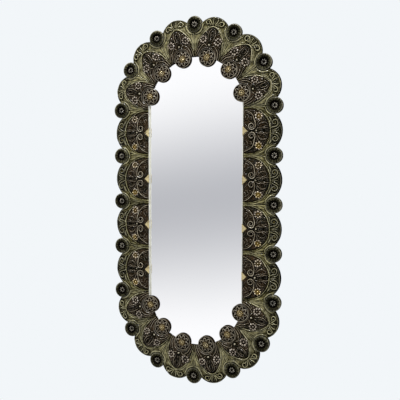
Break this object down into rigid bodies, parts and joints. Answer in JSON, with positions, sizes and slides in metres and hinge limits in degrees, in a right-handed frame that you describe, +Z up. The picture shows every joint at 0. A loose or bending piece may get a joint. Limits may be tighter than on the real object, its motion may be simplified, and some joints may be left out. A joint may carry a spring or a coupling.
{
  "type": "wall mirror",
  "caption": "Tall wall mirror with round ends in a scalloped frame of glazed ceramic relief tiles, rosettes and medallions.",
  "frame": {"origin": "middle of the back face of the board, which hangs flat against the wall", "axes": "+X to the viewer's right when facing the mirror, +Z up, +Y into the wall, so the mirror faces -Y"},
  "size_m": [0.762, 0.0427, 1.562],
  "materials": {
    "tile_glaze": "olive green glaze with aubergine-brown fields, pooled dark in the hollows and thin on the ridges",
    "rosette_glaze": "dark olive glaze on the rim, near black in the cup, pale grey flower",
    "medallion_glaze": "brown glaze with pale edges and a gold lustre centre",
    "gilt": "worn gold leaf",
    "liner_gilt": "pale champagne gilt, satin",
    "silvered_glass": "clear silvered mirror",
    "plywood": "birch plywood, sealed",
    "zinc_plate": "zinc-plated steel"
  },
  "bodies": {
    "root": {"back_panel": "plywood", "mirror_glass": "silvered_glass", "liner_sides": "liner_gilt", "gilt_darts": "gilt", "hanger_plates": "zinc_plate", "hanger_screws": "zinc_plate", "side_tile_left_1": "tile_glaze", "side_tile_left_2": "tile_glaze", "side_tile_left_3": "tile_glaze", "side_tile_left_4": "tile_glaze", "side_tile_right_1": "tile_glaze", "side_tile_right_2": "tile_glaze", "side_tile_right_3": "tile_glaze", "side_tile_right_4": "tile_glaze", "top_tile_1": "tile_glaze", "top_tile_2": "tile_glaze", "top_tile_3": "tile_glaze", "top_tile_4": "tile_glaze", "top_tile_5": "tile_glaze", "top_tile_6": "tile_glaze", "bottom_tile_1": "tile_glaze", "bottom_tile_2": "tile_glaze", "bottom_tile_3": "tile_glaze", "bottom_tile_4": "tile_glaze", "bottom_tile_5": "tile_glaze", "bottom_tile_6": "tile_glaze", "rosette_1": "rosette_glaze", "rosette_2": "rosette_glaze", "rosette_3": "rosette_glaze", "rosette_4": "rosette_glaze", "rosette_5": "rosette_glaze", "rosette_6": "rosette_glaze", "rosette_7": "rosette_glaze", "rosette_8": "rosette_glaze", "rosette_9": "rosette_glaze", "rosette_10": "rosette_glaze", "rosette_11": "rosette_glaze", "rosette_12": "rosette_glaze", "rosette_13": "rosette_glaze", "rosette_14": "rosette_glaze", "rosette_15": "rosette_glaze", "rosette_16": "rosette_glaze", "rosette_17": "rosette_glaze", "rosette_18": "rosette_glaze", "rosette_19": "rosette_glaze", "rosette_20": "rosette_glaze", "top_medallion_1": "medallion_glaze", "top_medallion_2": "medallion_glaze", "top_medallion_3": "medallion_glaze", "top_medallion_4": "medallion_glaze", "top_medallion_5": "medallion_glaze", "top_medallion_6": "medallion_glaze", "bottom_medallion_1": "medallion_glaze", "bottom_medallion_2": "medallion_glaze", "bottom_medallion_3": "medallion_glaze", "bottom_medallion_4": "medallion_glaze", "bottom_medallion_5": "medallion_glaze", "bottom_medallion_6": "medallion_glaze"}
  },
  "joints": []
}
